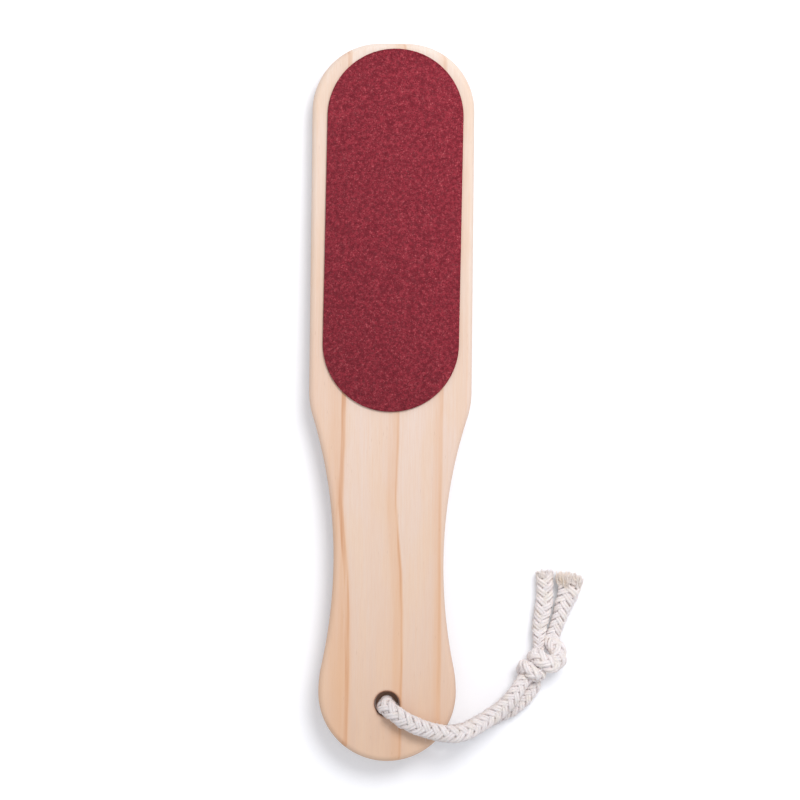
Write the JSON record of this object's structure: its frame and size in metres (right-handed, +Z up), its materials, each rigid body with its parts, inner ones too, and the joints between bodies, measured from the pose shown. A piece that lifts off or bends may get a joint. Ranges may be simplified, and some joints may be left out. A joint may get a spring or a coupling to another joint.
{
  "type": "foot file",
  "caption": "Wooden paddle foot file with a glued abrasive sheet on each side of the blade and a knotted hanging cord through the butt.",
  "frame": {"origin": "on the table, below the middle of the paddle", "axes": "+Z up from the table; +Y along the paddle from the butt with its hang hole to the head with its abrasive sheets; +X to the right, towards the side where the cord lies"},
  "size_m": [0.097, 0.25, 0.0231],
  "materials": {
    "pale_wood": "sanded, unvarnished, straight lengthwise grain",
    "adhesive": "thin pressure-sensitive film",
    "backing_cloth": "resin-stiffened cloth",
    "coarse_grit": "coarse grains bonded in dark red resin",
    "fine_grit": "fine grains bonded in dark red resin",
    "cotton_cord": "braided undyed cotton, soft and matt"
  },
  "bodies": {
    "paddle": {"wooden_paddle": "pale_wood", "coarse_adhesive_film": "adhesive", "coarse_backing_cloth": "backing_cloth", "coarse_grit_coat": "coarse_grit", "fine_adhesive_film": "adhesive", "fine_backing_cloth": "backing_cloth", "fine_grit_coat": "fine_grit"},
    "hang_cord": {"cord_face_strand": "cotton_cord", "cord_under_strand": "cotton_cord", "cord_knot": "cotton_cord", "cord_left_end": "cotton_cord", "cord_right_end": "cotton_cord"}
  },
  "joints": [
    {"name": "cord_swing", "type": "hinge", "parent": "paddle", "child": "hang_cord", "pos_m": [0, -0.10517, 0.01125], "axis": [0, 0.0256, 0.9997], "range_deg": [-180, 25]}
  ]
}
